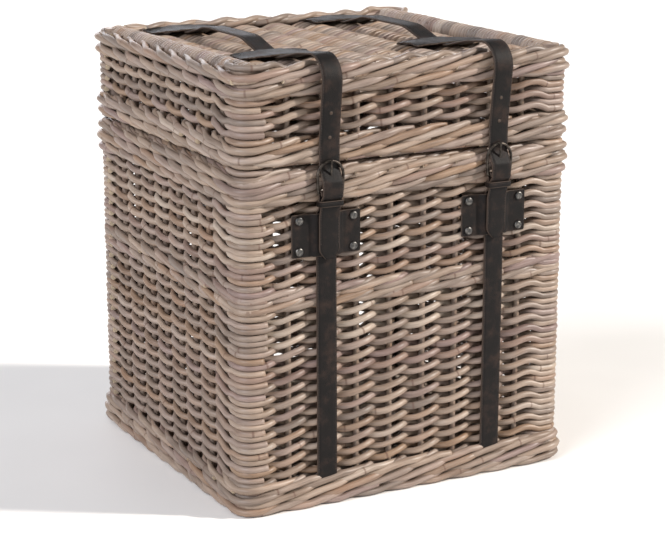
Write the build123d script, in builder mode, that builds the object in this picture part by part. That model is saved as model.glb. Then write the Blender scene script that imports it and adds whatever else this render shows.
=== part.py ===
from build123d import *
import math
import os

os.makedirs("parts", exist_ok=True)

# A square lidded hamper of twined rattan cane. X runs left to right, -Y is the buckled front, +Z is up.
# The origin is on the floor, under the middle of the basket. All sizes are millimetres.

# Driving dimensions
WIDTH = 520.0  # over the border ropes, left to right
DEPTH = 500.0  # over the border ropes, front to back
HEIGHT = 600.0  # floor to the top of the lid's border rope
BORDER_PROUD = 9.0  # how far the border ropes stand out from the wall weave
BAND_PROUD = 2.0  # how far the thicker band halfway up the body stands out
WALL_T = 22.0  # one cane outside the stake, the stake, one cane inside
CANE_D = 7.5
POST_R = 14.0
STAKE_R = 4.0
STAKES_PER_SIDE = 8
STAKE_PITCH_X = 51.2
STAKE_PITCH_Y = 48.6
FIT = 0.2  # gap round a post or stake inside the weave

# Heights of the woven courses, from the floor
BASE_TOP = 45.0
BAND_LOW = 274.0
BAND_HIGH = 307.0
RIM_LOW = 418.0
SEAM = 466.0
SEAM_GAP = 0.4
LID_WALL_LOW = 507.0
LID_WALL_HIGH = 556.0
LID_TOP_SURFACE = 590.0
PANEL_T = 22.0
BASE_PANEL_LOW = 14.0
ROPE_ROUND = 11.0  # radius of a border rope's outer edge

# Leather and buckles
STRAP_X = 129.0
STRAP_FOOT = 33.0  # the body strap's lower end, tucked into the base border
STRAP_W = 30.0
STRAP_T = 2.6
PATCH_W = 102.0
PATCH_LOW = 346.0
PATCH_HIGH = 403.5
PATCH_T = 2.8
RIVET_X = 40.0
RIVET_Z = 20.5
RIVET_R = 2.0
RIVET_HEAD_R = 5.8
WIRE_R = 1.9  # the buckle's round bar
PRONG_R = 1.3
HEEL_Z = 431.0
ARCH_Z = 472.6
ARCH_R = 18.8  # radius of the buckle's round top
LEG_R = 170.0  # the sides draw in slightly towards the straight bar
FRAME_OUT = 5.2  # the buckle frame's plane, outwards from the border face
FOLD_Z = 464.0  # where the hanging strap end bends away from the lid

# Hinge at the back of the seam
HINGE_ROD_R = 4.8
HINGE_LOOP_R = 7.8
HINGE_Y = DEPTH / 2 + 5.2
HINGE_Z = SEAM + SEAM_GAP / 2
HINGE_SPOTS = (-150.0, 0.0, 150.0)
HINGE_LOOP_W = 24.0
HINGE_TAB_T = 3.0
HINGE_TAB_L = 30.0

# Worked out from the above
WALL_W = WIDTH - 2 * BORDER_PROUD
WALL_D = DEPTH - 2 * BORDER_PROUD
CORNER_R = POST_R + CANE_D
INNER_W = WALL_W - 2 * WALL_T
INNER_D = WALL_D - 2 * WALL_T
POST_X = WALL_W / 2 - CORNER_R
POST_Y = WALL_D / 2 - CORNER_R
STAKE_X = (WALL_W - WALL_T) / 2
STAKE_Y = (WALL_D - WALL_T) / 2
FRONT = -DEPTH / 2  # the border ropes' front face
WALL_FRONT = -WALL_D / 2
SIDE_NAMES = ("front", "right", "back", "left")
HANDS = (("left", -1), ("right", 1))

POSTS = [(sx * POST_X, sy * POST_Y) for sx in (-1, 1) for sy in (-1, 1)]


def stake_row(side):
    """Plan positions of one side's stakes."""
    steps = [i - (STAKES_PER_SIDE - 1) / 2 for i in range(STAKES_PER_SIDE)]
    if side in ("front", "back"):
        y = STAKE_Y if side == "back" else -STAKE_Y
        return [(s * STAKE_PITCH_X, y) for s in steps]
    x = STAKE_X if side == "right" else -STAKE_X
    return [(x, s * STAKE_PITCH_Y) for s in steps]


STAKES = [spot for side in SIDE_NAMES for spot in stake_row(side)]


def side_region(side):
    """Plan outline that holds one side of the basket, cut off at 45 degrees through its two corner posts."""
    reach = 60.0
    inset = 30.0
    quarter = SIDE_NAMES.index(side)
    half, depth = (POST_X, POST_Y) if quarter % 2 == 0 else (POST_Y, POST_X)
    front = [
        (-half, -depth),
        (-half + inset, -depth + inset),
        (half - inset, -depth + inset),
        (half, -depth),
        (half + reach, -depth - reach),
        (-half - reach, -depth - reach),
    ]
    angle = math.radians(90 * quarter)
    turn = (math.cos(angle), math.sin(angle))
    return [(x * turn[0] - y * turn[1], x * turn[1] + y * turn[0]) for x, y in front]


def ring_plan(proud):
    """Plan of a woven ring that stands proud of the wall, with holes for the posts and stakes."""
    with BuildSketch() as plan:
        RectangleRounded(WALL_W + 2 * proud, WALL_D + 2 * proud, CORNER_R + proud)
        Rectangle(INNER_W, INNER_D, mode=Mode.SUBTRACT)
        with Locations(*POSTS):
            Circle(POST_R + FIT, mode=Mode.SUBTRACT)
        with Locations(*STAKES):
            Circle(STAKE_R + FIT, mode=Mode.SUBTRACT)
    return plan.sketch


def save(piece, label):
    """Names a finished piece and writes it as its own STEP file."""
    piece.label = label
    export_step(piece, f"parts/{label}.step")


def woven_ring(label, low, high, proud, rounded, tucks=()):
    """A border rope or band round all four sides. tucks are the x places where a strap end is tucked in."""
    with BuildPart() as ring:
        with BuildSketch(Plane.XY.offset(low)):
            add(ring_plan(proud))
        extrude(amount=high - low)
        if rounded:
            outer = ring.faces().sort_by(Axis.Z)
            edges = outer[0].outer_wire().edges() + outer[-1].outer_wire().edges()
            fillet(edges, radius=ROPE_ROUND)
        for x in tucks:
            with Locations((x, FRONT + 5.4, high)):
                Box(STRAP_W + 1, STRAP_T + 0.8, 2 * (high - STRAP_FOOT) + 2, mode=Mode.SUBTRACT)
    save(ring.part, label)


def woven_side(label, side, low, high, holes=()):
    """One side's field of twined cane, with its half of both corner wraps. holes are rivet holes (x, z)."""
    with BuildPart() as weave:
        with BuildSketch(Plane.XY.offset(low)):
            add(ring_plan(0))
            with BuildLine():
                Polyline(*side_region(side), close=True)
            make_face(mode=Mode.INTERSECT)
        extrude(amount=high - low)
        for x, z in holes:
            with Locations(Location((x, WALL_FRONT + WALL_T / 2, z), (90, 0, 0))):
                Cylinder(RIVET_R + FIT, WALL_T + 10, mode=Mode.SUBTRACT)
    save(weave.part, label)


def upright_rods(label, spots, radius, low, high):
    """A group of round rods that stand upright in the weave."""
    with BuildPart() as rods:
        with BuildSketch(Plane.XY.offset(low)):
            with Locations(*spots):
                Circle(radius)
        extrude(amount=high - low)
    save(rods.part, label)


def flat_panel(label, width, low, spots, radius):
    """A woven panel with a row of rods lying in it from front to back."""
    middle = low + PANEL_T / 2
    with BuildPart() as panel:
        with BuildSketch(Plane.XY.offset(low)):
            Rectangle(width, INNER_D - 1)
            with Locations(*POSTS):
                Circle(POST_R + FIT, mode=Mode.SUBTRACT)
        extrude(amount=PANEL_T)
        for x in spots:
            with Locations(Location((x, 0, middle), (90, 0, 0))):
                Cylinder(radius + FIT, INNER_D + 10, mode=Mode.SUBTRACT)
    save(panel.part, label)


def lying_rods(label, spots, radius, middle, length):
    """Rods that run from front to back at one height."""
    with BuildPart() as rods:
        for x in spots:
            with Locations(Location((x, 0, middle), (90, 0, 0))):
                Cylinder(radius, length)
    save(rods.part, label)


def buckle_leg():
    """Three points (x, z) up one side of the buckle, from its straight bar to where the round top begins."""
    top_z = ARCH_Z - ARCH_R
    sweep_angle = math.asin((top_z - HEEL_Z) / LEG_R)
    angles = (sweep_angle, sweep_angle / 2, 0)
    return [(ARCH_R - LEG_R * (1 - math.cos(a)), top_z - LEG_R * math.sin(a)) for a in angles]


RIVETS_Z = [(PATCH_LOW + PATCH_HIGH) / 2 + s * RIVET_Z for s in (-1, 1)]


def rivet_spots(sign):
    """The four rivets of one patch as (x, z)."""
    return [(sign * STRAP_X + s * RIVET_X, z) for s in (-1, 1) for z in RIVETS_Z]


# Basket body, from the floor up
woven_ring("base_border", 0, BASE_TOP, BORDER_PROUD, True, (-STRAP_X, STRAP_X))
woven_ring("mid_band", BAND_LOW, BAND_HIGH, BAND_PROUD, False)
woven_ring("rim_border", RIM_LOW, SEAM, BORDER_PROUD, True)
for side in SIDE_NAMES:
    riveted = rivet_spots(-1) + rivet_spots(1) if side == "front" else ()
    woven_side(f"{side}_lower_weave", side, BASE_TOP, BAND_LOW)
    woven_side(f"{side}_upper_weave", side, BAND_HIGH, RIM_LOW, riveted)
    upright_rods(f"{side}_stakes", stake_row(side), STAKE_R, 5, SEAM - 4)
for (x, y), corner in zip(POSTS, ("front_left", "back_left", "front_right", "back_right")):
    upright_rods(f"{corner}_post", [(x, y)], POST_R, 3, SEAM - 2)
ROD_SPOTS = [x for x, _ in stake_row("front")]
flat_panel("base_panel", INNER_W - 1, BASE_PANEL_LOW, ROD_SPOTS, STAKE_R)
lying_rods("base_rods", ROD_SPOTS, STAKE_R, BASE_PANEL_LOW + PANEL_T / 2, INNER_D - 8)

# Lid
woven_ring("lid_lower_border", SEAM + SEAM_GAP, LID_WALL_LOW, BORDER_PROUD, True)
woven_ring("lid_upper_border", LID_WALL_HIGH, HEIGHT, BORDER_PROUD, True)
for side in SIDE_NAMES:
    woven_side(f"lid_{side}_weave", side, LID_WALL_LOW, LID_WALL_HIGH)
upright_rods("lid_corner_posts", POSTS, POST_R, SEAM + 3, HEIGHT - 3)
upright_rods("lid_stakes", STAKES, STAKE_R, SEAM + 4, HEIGHT - 8)
EDGE_ROD_R = 12.0
EDGE_ROD_X = INNER_W / 2 - EDGE_ROD_R - 0.6
EDGE_ROD_L = 2 * (POST_Y - POST_R) - 2
LID_ROD_R = 3.5
LID_PANEL_LOW = LID_TOP_SURFACE - PANEL_T
flat_panel("lid_top_panel", 2 * (EDGE_ROD_X - EDGE_ROD_R) - 1, LID_PANEL_LOW, ROD_SPOTS, LID_ROD_R)
lying_rods("lid_top_rods", ROD_SPOTS, LID_ROD_R, LID_PANEL_LOW + PANEL_T / 2, INNER_D - 8)
for hand, sign in HANDS:
    lying_rods(f"lid_{hand}_edge_rod", [sign * EDGE_ROD_X], EDGE_ROD_R, LID_PANEL_LOW + PANEL_T / 2, EDGE_ROD_L)

# Hinge: a cane rod in the groove behind the seam, with split-cane loops on the rim and on the lid between them
with BuildPart() as hinge_rod:
    with Locations(Location((0, HINGE_Y, HINGE_Z), (0, 90, 0))):
        Cylinder(HINGE_ROD_R, 2 * (HINGE_SPOTS[-1] + HINGE_LOOP_W) + 20)
save(hinge_rod.part, "hinge_rod")


def hinge_loops(label, shift, up, bore):
    """Three loops round the hinge rod, each with a flat tab on the border's back face, down (-1) or up (1)."""
    tab_far = HINGE_Z + up * HINGE_TAB_L
    tab_near = HINGE_Z + up * (HINGE_LOOP_R - 2)
    with BuildPart() as loops:
        for x in HINGE_SPOTS:
            with BuildSketch(Plane.YZ.offset(x + shift - HINGE_LOOP_W / 2)):
                with Locations((HINGE_Y, HINGE_Z)):
                    Circle(HINGE_LOOP_R)
                with Locations((DEPTH / 2 + 0.1 + HINGE_TAB_T / 2, (tab_far + tab_near) / 2)):
                    Rectangle(HINGE_TAB_T, abs(tab_far - tab_near))
                with Locations((HINGE_Y, HINGE_Z)):
                    Circle(bore, mode=Mode.SUBTRACT)
            extrude(amount=HINGE_LOOP_W)
    save(loops.part, label)


hinge_loops("body_hinge_loops", -(HINGE_LOOP_W / 2 + 1), -1, HINGE_ROD_R)
hinge_loops("lid_hinge_loops", HINGE_LOOP_W / 2 + 1, 1, HINGE_ROD_R + 0.3)


# Leather. A strap's path is drawn in the YZ plane along the middle of its thickness, as (out, z): out is the
# distance outwards from the front face of the border ropes.
def at_front(points):
    """Turns (out, z) points into (y, z)."""
    return [(FRONT - out, z) for out, z in points]


STRAP_SKIN = STRAP_T / 2 + 0.3  # a strap's middle, out from the surface it lies on
ON_LID = LID_TOP_SURFACE + STRAP_SKIN
GRIP_Z = 606.0  # the strap's bow between the keepers
LID_STRAP_PATH = at_front([(STRAP_SKIN, FOLD_Z + 0.3), (STRAP_SKIN, 500), (15, 612), (-60, 604)])
LID_STRAP_PATH += [(-136, ON_LID), (-72, ON_LID), (-20, GRIP_Z), (96, GRIP_Z), (156, ON_LID), (216, ON_LID)]
LID_STRAP_BENDS = [120, 32, 80, 60, 50, 90, 90, 50]
BEND_R = 2.5  # the tight folds round the buckle and the loop
TAIL_PATH = at_front([(STRAP_SKIN, FOLD_Z), (STRAP_SKIN, 461.5), (11.7, 446), (11.7, 427.5)])
TAIL_PATH += at_front([(5.2, 420.5), (4.7, 411), (0.9, 398), (0.9, 343)])
TAIL_END = 342.0
TIP_HALF = 15.2  # the tip's cuts start just outside the strap's edges
TIP_L = 16.0
PRONG_SLOT_W = 4.6
PRONG_SLOT_L = 15.0
PRONG_SLOT_Z = 452.5
CHAPE_PATH = at_front([(-5.4, STRAP_FOOT), (-5.4, 404.5), (STRAP_SKIN, 411.5), (STRAP_SKIN, HEEL_Z)])
CHAPE_SLOT_L = 11.2
FOLD_R = FRAME_OUT - STRAP_SKIN
FOLD_END = 2.5  # how far the fold comes back down in front of the bar
STRAP_HOLE_R = 2.2
STRAP_HOLES_Z = (503.0, 535.0)
KEEPER_SPOTS = (("front", -105.0), ("back", 190.0))
KEEPER_L = 118.0
KEEPER_W = 56.0
KEEPER_T = 2.2
PATCH_Y = WALL_FRONT - 0.3 - PATCH_T / 2  # the middle of the patch's leather on the wall
PATCH_OVER_Y = FRONT + 5.4 - STRAP_T / 2 - 0.4 - PATCH_T / 2  # and where it passes over the strap
RAISED_HALF = STRAP_W / 2 + 2.5  # half the width of the part that is raised over the strap
RAISED_SLOPE = 5.0
RIVET_HEAD_T = 3.0
RIVET_HEAD_ROUND = 2.7
RIVET_TAIL_R = 3.2
WASHER_R = 6.5
WASHER_T = 1.5
LOOP_LOW = 413.0
LOOP_H = 8.0
LOOP_Y = FRONT - 4.4
LOOP_OPENING = (STRAP_W + 1.2, 9.2)
LOOP_T = 1.8
PRONG_CURL_R = 3.4
PRONG_CURL_W = 4.0
PRONG_ROOT = (FRONT - 5.9, HEEL_Z + 2.8)  # (y, z)
PRONG_TIP = (FRONT - 9.4, ARCH_Z + 2.6)
THROUGH = 20.0  # a cut that goes right through


def facing(x, y, z):
    """A place on the front with its axis pointing forwards."""
    return Location((x, y, z), (90, 0, 0))


def strap_plane(x0):
    """The plane of a strap's left edge."""
    return Plane.YZ.offset(x0 - STRAP_W / 2)


def lid_strap(x0, label):
    """The strap that lies over the lid and stands up as a grip between its two keepers."""
    with BuildPart() as strap:
        with BuildSketch(strap_plane(x0)):
            with BuildLine():
                FilletPolyline(*LID_STRAP_PATH, radius=LID_STRAP_BENDS)
            trace(line_width=STRAP_T)
        extrude(amount=STRAP_W)
        for z in STRAP_HOLES_Z:
            with Locations(facing(x0, FRONT - 5, z)):
                Cylinder(STRAP_HOLE_R, THROUGH, mode=Mode.SUBTRACT)
    save(strap.part, label)


def strap_end(x0, label):
    """The strap's loose end, through the buckle and the loop, over the patch, cut to a blunt point."""
    side = TIP_HALF + 5
    with BuildPart() as tail:
        with BuildSketch(strap_plane(x0)):
            with BuildLine():
                FilletPolyline(*TAIL_PATH, radius=BEND_R)
            trace(line_width=STRAP_T)
        extrude(amount=STRAP_W)
        with BuildSketch(Plane.XZ.offset(-FRONT - THROUGH)):
            for s in (-1, 1):
                corner = [(x0 + s * TIP_HALF / 3, TAIL_END), (x0 + s * side, TAIL_END)]
                corner += [(x0 + s * side, TAIL_END + TIP_L), (x0 + s * TIP_HALF, TAIL_END + TIP_L)]
                with BuildLine():
                    Polyline(*corner, close=True)
                make_face()
        extrude(amount=3 * THROUGH, mode=Mode.SUBTRACT)
        with Locations((x0, FRONT - 8, PRONG_SLOT_Z)):
            Box(PRONG_SLOT_W, 2 * THROUGH, PRONG_SLOT_L, mode=Mode.SUBTRACT)
    save(tail.part, label)


def body_strap(x0, label):
    """The strap on the body, folded over the buckle's bar and slit there for the prong."""
    with BuildPart() as strap:
        with BuildSketch(strap_plane(x0)):
            with BuildLine():
                FilletPolyline(*CHAPE_PATH, radius=BEND_R)
                fold = [(STRAP_SKIN, HEEL_Z), (FRAME_OUT, HEEL_Z + FOLD_R), (FRAME_OUT + FOLD_R, HEEL_Z)]
                fold = at_front(fold)
                ThreePointArc(*fold)
                Line(fold[-1], (fold[-1][0], HEEL_Z - FOLD_END))
            trace(line_width=STRAP_T)
        extrude(amount=STRAP_W)
        with Locations((x0, FRONT - FRAME_OUT - 0.3, HEEL_Z + 1.4)):
            Box(PRONG_SLOT_W, CHAPE_SLOT_L, CHAPE_SLOT_L, mode=Mode.SUBTRACT)
    save(strap.part, label)


def raised_strip(x0, half_length, low, high):
    """Corner points of a strip that lies low at both ends and is raised over the strap in the middle."""
    half = [(half_length, low), (RAISED_HALF + RAISED_SLOPE, low), (RAISED_HALF, high)]
    return [(x0 - x, level) for x, level in half] + [(x0 + x, level) for x, level in reversed(half)]


def patch(x0, spots, label):
    """The riveted patch, flat on the wall at both ends and raised over the strap."""
    with BuildPart() as plate:
        with BuildSketch(Plane.XY.offset(PATCH_LOW)):
            with BuildLine():
                Polyline(*raised_strip(x0, PATCH_W / 2, PATCH_Y, PATCH_OVER_Y))
            trace(line_width=PATCH_T)
        extrude(amount=PATCH_HIGH - PATCH_LOW)
        for x, z in spots:
            with Locations(facing(x, PATCH_Y, z)):
                Cylinder(RIVET_R + FIT, THROUGH, mode=Mode.SUBTRACT)
    save(plate.part, label)


def rivets(spots, label):
    """Domed rivets through a patch and the wall, closed over washers inside."""
    head_y = PATCH_Y - PATCH_T / 2
    end_y = WALL_FRONT + WALL_T + WASHER_T + 0.1
    with BuildPart() as pins:
        for x, z in spots:
            with BuildSketch(Plane.XZ.offset(-head_y)):
                with Locations((x, z)):
                    Circle(RIVET_HEAD_R)
            extrude(amount=RIVET_HEAD_T)
            with BuildSketch(Plane.XZ.offset(-head_y)):
                with Locations((x, z)):
                    Circle(RIVET_R)
            extrude(amount=head_y - end_y)
            with BuildSketch(Plane.XZ.offset(-end_y)):
                with Locations((x, z)):
                    Circle(RIVET_TAIL_R)
            extrude(amount=-1)
        heads = pins.edges().filter_by(GeomType.CIRCLE)
        heads = heads.filter_by(lambda e: abs(e.radius - RIVET_HEAD_R) < 0.01)
        fillet(heads.group_by(Axis.Y)[0], radius=RIVET_HEAD_ROUND)
    save(pins.part, label)


def washers(spots, label):
    """Washers under the rivets' ends, on the inside of the wall."""
    with BuildPart() as rings:
        with BuildSketch(Plane.XZ.offset(-WALL_FRONT - WALL_T)):
            with Locations(*spots):
                Circle(WASHER_R)
                Circle(RIVET_R + FIT, mode=Mode.SUBTRACT)
        extrude(amount=-WASHER_T)
    save(rings.part, label)


def strap_loop(x0, label):
    """The leather loop that holds the strap's end down."""
    wide, deep = LOOP_OPENING
    with BuildPart() as loop:
        with BuildSketch(Plane.XY.offset(LOOP_LOW)):
            with Locations((x0, LOOP_Y)):
                Rectangle(wide + 2 * LOOP_T, deep + 2 * LOOP_T)
                Rectangle(wide, deep, mode=Mode.SUBTRACT)
        extrude(amount=LOOP_H)
    save(loop.part, label)


def buckle(x0, label):
    """The buckle: a horseshoe of round wire closed by a straight bar."""
    with BuildPart() as frame:
        with BuildLine(Plane.XZ.offset(-FRONT + FRAME_OUT)) as arch:
            left_leg = [(x0 - x, z) for x, z in buckle_leg()]
            right_leg = [(x0 + x, z) for x, z in buckle_leg()]
            ThreePointArc(*left_leg)
            ThreePointArc(left_leg[-1], (x0, ARCH_Z), right_leg[-1])
            ThreePointArc(*reversed(right_leg))
        with BuildSketch(Plane(origin=arch.line @ 0, z_dir=arch.line % 0)):
            Circle(WIRE_R)
        sweep()
        with Locations(Location((x0, FRONT - FRAME_OUT, HEEL_Z), (0, 90, 0))):
            Cylinder(WIRE_R, 2 * buckle_leg()[0][0])
    save(frame.part, label)


def prong(x0, label):
    """The prong, curled round the straight bar."""
    root = Vector(x0, *PRONG_ROOT)
    tip = Vector(x0, *PRONG_TIP)
    with BuildPart() as tongue:
        with BuildSketch(Plane(origin=root, z_dir=tip - root)):
            Circle(PRONG_R)
        extrude(amount=(tip - root).length)
        with Locations(Location((x0, FRONT - FRAME_OUT, HEEL_Z), (0, 90, 0))):
            Cylinder(PRONG_CURL_R, PRONG_CURL_W)
            Cylinder(WIRE_R + 0.12, PRONG_CURL_W + 2, mode=Mode.SUBTRACT)
    save(tongue.part, label)


def keeper(x0, y, label):
    """A leather keeper across the strap on the lid, its ends stitched down to the weave."""
    low_z = LID_TOP_SURFACE + 0.2 + KEEPER_T / 2
    top_z = LID_TOP_SURFACE + 0.3 + STRAP_T + 0.4 + KEEPER_T / 2
    with BuildPart() as strip:
        with BuildSketch(Plane.XZ.offset(-y - KEEPER_W / 2)):
            with BuildLine():
                Polyline(*raised_strip(x0, KEEPER_L / 2, low_z, top_z))
            trace(line_width=KEEPER_T)
        extrude(amount=KEEPER_W)
    save(strip.part, label)


for hand, sign in HANDS:
    x0 = sign * STRAP_X
    lid_strap(x0, f"lid_strap_{hand}")
    strap_end(x0, f"strap_end_{hand}")
    body_strap(x0, f"body_strap_{hand}")
    patch(x0, rivet_spots(sign), f"patch_{hand}")
    rivets(rivet_spots(sign), f"rivets_{hand}")
    washers(rivet_spots(sign), f"rivet_washers_{hand}")
    strap_loop(x0, f"strap_loop_{hand}")
    buckle(x0, f"buckle_{hand}")
    prong(x0, f"prong_{hand}")
    for place, y in KEEPER_SPOTS:
        keeper(x0, y, f"{place}_keeper_{hand}")
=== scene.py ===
# %% [markdown]
# # A rattan hamper with leather straps
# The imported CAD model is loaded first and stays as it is: it says where every part of the hamper sits.
# Everything made below lies around it, in metres, in the same frame.

# %% Load the frame
import math
import bpy
import numpy as np
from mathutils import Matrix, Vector


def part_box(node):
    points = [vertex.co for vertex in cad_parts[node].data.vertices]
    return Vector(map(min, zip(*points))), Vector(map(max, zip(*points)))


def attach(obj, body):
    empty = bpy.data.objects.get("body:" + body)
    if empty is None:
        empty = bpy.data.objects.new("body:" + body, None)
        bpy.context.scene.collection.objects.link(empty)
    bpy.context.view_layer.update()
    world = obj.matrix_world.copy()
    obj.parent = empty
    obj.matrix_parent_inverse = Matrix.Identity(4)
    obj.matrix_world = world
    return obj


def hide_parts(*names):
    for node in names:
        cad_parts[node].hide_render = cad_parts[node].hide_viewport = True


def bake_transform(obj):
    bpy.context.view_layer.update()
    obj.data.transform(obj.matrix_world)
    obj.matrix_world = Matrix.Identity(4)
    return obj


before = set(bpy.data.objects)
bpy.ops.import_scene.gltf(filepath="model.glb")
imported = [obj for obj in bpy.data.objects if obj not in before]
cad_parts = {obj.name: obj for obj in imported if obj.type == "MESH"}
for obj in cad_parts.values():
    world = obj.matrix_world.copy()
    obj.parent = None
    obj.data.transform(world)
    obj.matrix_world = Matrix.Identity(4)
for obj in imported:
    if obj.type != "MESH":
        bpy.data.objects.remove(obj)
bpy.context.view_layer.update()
MM = 0.001

# %% [markdown]
# ## Two small helpers
# Colours are written as the sRGB hex codes that a paint program shows, and Blender's shaders want linear
# light, so one function converts them. Another adds a node with its settings and links in one go.


# %% Colour and node helpers
def linear(code):
    """A hex colour as linear RGBA."""
    parts = [int(code[i : i + 2], 16) / 255 for i in (0, 2, 4)]
    return [p / 12.92 if p <= 0.04045 else ((p + 0.055) / 1.055) ** 2.4 for p in parts] + [1.0]


def add_node(tree, kind, settings=None, links=None):
    """Adds one node. A setting is a socket, a property or a ramp's stops. A link comes from an output, or
    from a node's first output."""
    node = tree.nodes.new("ShaderNode" + kind)
    for key, value in (settings or {}).items():
        if key == "stops":
            while len(node.color_ramp.elements) < len(value):
                node.color_ramp.elements.new(1.0)
            for element, (place, colour) in zip(node.color_ramp.elements, value):
                element.position = place
                element.color = linear(colour) if isinstance(colour, str) else [colour] * 3 + [1.0]
        elif isinstance(key, int) or key in node.inputs:
            node.inputs[key].default_value = value
        else:
            setattr(node, key, value)
    for key, source in (links or {}).items():
        output = source.outputs[0] if isinstance(source, bpy.types.Node) else source
        tree.links.new(output, node.inputs[key])
    return node


def new_material(name):
    """An empty node material, and its tree and main shader."""
    material = bpy.data.materials.new(name)
    material.use_nodes = True
    return material, material.node_tree, material.node_tree.nodes["Principled BSDF"]


def link_surface(tree, shader, colour, rough, bump):
    """Feeds the main shader its colour, roughness and bump."""
    tree.links.new(colour, shader.inputs["Base Color"])
    tree.links.new(rough.outputs[0], shader.inputs["Roughness"])
    tree.links.new(bump.outputs[0], shader.inputs["Normal"])


# %% [markdown]
# ## Rattan
# The hamper is kubu rattan: cane soaked in mud until it turns grey, then woven with its bark on. It is a
# plant fibre with a broad satin shine, IOR 1.5 and roughness about 0.45. Each cane has its own tint, from
# pale grey to pinkish brown, with fine grain along it, a dark ring at each leaf node and paler pith where it
# is cut. The mesh carries what the material needs: how far along the cane a point is and where it is round
# the cane ("run"), and numbers drawn once for each cane ("tone").

# %% Rattan materials
RING_SPACING = 0.29  # leaf nodes are 150 to 300 mm apart on cane of this size
RATTAN_TINTS = [
    (0.0, "7F7269"),
    (0.16, "968475"),
    (0.34, "A69383"),
    (0.5, "8E7E72"),
    (0.66, "9D8B80"),
    (0.8, "957C66"),
    (0.9, "8C7872"),
    (1.0, "B0A192"),
]


def finish_rattan(tree, shader, grain, patches, chooser, ring=None, cut=None):
    """The part that all rattan shares, from its grain, its patches and the number that picks its tint."""
    tint = add_node(tree, "ValToRGB", {"stops": RATTAN_TINTS}, {"Fac": chooser})
    blots = {"stops": [(0.3, "A79789"), (0.55, "FFFFFF"), (0.75, "EBD2BC")]}
    patch = add_node(tree, "ValToRGB", blots, {"Fac": patches})
    multiply = {"data_type": "RGBA", "blend_type": "MULTIPLY"}
    mottled = add_node(tree, "Mix", {**multiply, 0: 0.55}, {6: tint, 7: patch})
    streak = add_node(tree, "ValToRGB", {"stops": [(0.3, 0.62), (0.5, 0.92), (0.7, 1.0)]}, {"Fac": grain})
    colour = add_node(tree, "Mix", {**multiply, 0: 0.75}, {6: mottled.outputs[2], 7: streak})
    for where, code in ((ring, "5B4033"), (cut, "D9C8AE")):
        if where:
            over = {"data_type": "RGBA", 7: linear(code)}
            colour = add_node(tree, "Mix", over, {0: where, 6: colour.outputs[2]})
    rough = add_node(tree, "MapRange", {"To Min": 0.32, "To Max": 0.58}, {"Value": grain})
    bump = add_node(tree, "Bump", {"Strength": 0.5, "Distance": 0.0004}, {"Height": grain})
    link_surface(tree, shader, colour.outputs[2], rough, bump)
    shader.inputs["IOR"].default_value = 1.5


def woven_rattan(name):
    """Rattan for the canes made below, which carry run and tone."""
    material, tree, shader = new_material(name)
    run = add_node(tree, "Attribute", {"attribute_name": "run"}).outputs["Vector"]
    tone = add_node(tree, "Attribute", {"attribute_name": "tone"}).outputs["Vector"]
    cut = add_node(tree, "Attribute", {"attribute_name": "cut"}).outputs["Fac"]
    tone_parts = add_node(tree, "SeparateXYZ", {}, {0: tone})
    run_parts = add_node(tree, "SeparateXYZ", {}, {0: run})
    # grain 0.5 mm wide round a cane of 8 mm, drawn out to 30 mm along it
    own = add_node(tree, "VectorMath", {"operation": "SCALE", "Scale": 40.0}, {0: tone})
    fine = {"operation": "MULTIPLY_ADD", 1: (45.0, 4.5, 4.5)}
    grain_place = add_node(tree, "VectorMath", fine, {0: run, 2: own})
    grain = add_node(tree, "TexNoise", {"Scale": 1.0, "Detail": 4.0}, {"Vector": grain_place})
    coarse = {"operation": "MULTIPLY_ADD", 1: (16.0, 0.5, 0.5)}
    patch_place = add_node(tree, "VectorMath", coarse, {0: run, 2: own})
    patches = add_node(tree, "TexNoise", {"Scale": 1.0, "Detail": 2.0}, {"Vector": patch_place})
    spacing = {"operation": "MULTIPLY_ADD", 1: 1 / RING_SPACING}
    shifted = add_node(tree, "Math", spacing, {0: run_parts, 2: tone_parts.outputs[1]})
    turn = add_node(tree, "Math", {"operation": "FRACT"}, {0: shifted})
    away = add_node(tree, "Math", {"operation": "SUBTRACT", 1: 0.5}, {0: turn})
    near = add_node(tree, "Math", {"operation": "ABSOLUTE"}, {0: away})
    fading = {"From Min": 0.0022, "From Max": 0.0062, "To Min": 0.65, "To Max": 0.0}
    ring = add_node(tree, "MapRange", fading, {0: near})
    finish_rattan(tree, shader, grain, patches, tone_parts, ring, cut)
    return material


def rattan_pole(name, stretch):
    """Straight rods that come from the CAD. stretch is how fast the grain changes along x, y and z."""
    material, tree, shader = new_material(name)
    place = add_node(tree, "TexCoord").outputs["Object"]
    drawn = add_node(tree, "VectorMath", {"operation": "MULTIPLY", 1: stretch}, {0: place})
    grain = add_node(tree, "TexNoise", {"Scale": 1.0, "Detail": 4.0}, {"Vector": drawn})
    patches = add_node(tree, "TexNoise", {"Scale": 18.0, "Detail": 2.0}, {"Vector": place})
    chooser = add_node(tree, "TexNoise", {"Scale": 31.0, "Detail": 0.0}, {"Vector": place})
    finish_rattan(tree, shader, grain, patches, chooser)
    return material


weave_rattan = woven_rattan("rattan_kubu_woven")
rope_rattan = woven_rattan("rattan_kubu_border_rope")
upright_rattan = rattan_pole("rattan_pole_upright", (900.0, 900.0, 40.0))
lying_rattan = rattan_pole("rattan_pole_front_to_back", (900.0, 40.0, 900.0))
hinge_rattan = rattan_pole("rattan_pole_hinge", (40.0, 900.0, 900.0))
print("rattan materials", len(bpy.data.materials))

# %% [markdown]
# ## Leather, thread and iron
# The straps are vegetable-tanned leather, dyed through to a brown that is almost black, oiled, and burnished
# along the cut edges. It is dull: roughness runs from 0.4 to 0.7, and little light is mirrored. Its grain is
# a net of pits about 1 mm apart. The mesh carries each point's distance from the leather's edge, so that the
# wear can be drawn where hands rub it. The buckles are cast iron with a blackened finish, which
# is a metal under a dark oxide. The rivets are stamped steel in gunmetal grey.


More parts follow.
